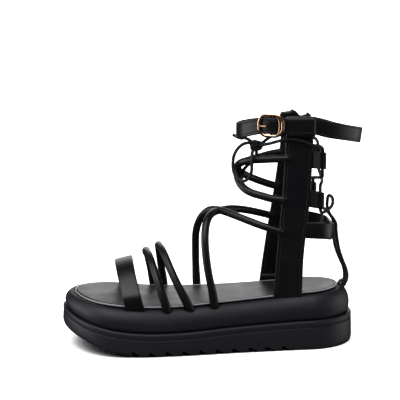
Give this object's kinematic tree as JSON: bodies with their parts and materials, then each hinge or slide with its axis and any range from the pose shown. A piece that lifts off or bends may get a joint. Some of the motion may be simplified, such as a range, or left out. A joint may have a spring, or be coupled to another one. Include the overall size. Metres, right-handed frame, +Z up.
{
  "type": "gladiator sandal",
  "caption": "Lace-up gladiator sandal for a left foot, with round straps over the foot, tall side panels, a buckled ankle strap and a ridged flatform sole.",
  "frame": {"origin": "on the floor, under the middle of the insole's length, on a flat land of the tread", "axes": "+X towards the heel, +Y towards the inner (medial) side, +Z up from the floor; the toe points to -X and the buckle is on -Y"},
  "size_m": [0.2728, 0.113, 0.2138],
  "materials": {
    "leather": "black smooth synthetic leather, satin",
    "insole_lining": "dark grey-black smooth lining, soft sheen",
    "outsole_rubber": "matte black moulded rubber",
    "lace_cord": "black round cord",
    "buckle_metal": "polished light rose-gold plating"
  },
  "bodies": {
    "root": {"outsole": "outsole_rubber", "platform_cover": "leather", "insole": "insole_lining", "toe_strap": "leather", "forefoot_strap_front": "leather", "forefoot_strap_rear": "leather", "instep_straps": "leather", "ankle_front_straps": "leather", "side_panel_outer": "leather", "side_panel_inner": "leather", "heel_band": "leather", "lace_tab_outer_lower": "leather", "lace_tab_outer_upper": "leather", "lace_tab_inner_lower": "leather", "lace_tab_inner_upper": "leather", "ankle_strap": "leather", "buckle_frame": "buckle_metal", "buckle_prong": "buckle_metal", "heel_loop": "leather", "lace": "lace_cord", "lace_knot": "lace_cord", "lace_bow_loop": "lace_cord", "lace_end_front": "lace_cord", "lace_end_rear": "lace_cord"}
  },
  "joints": []
}
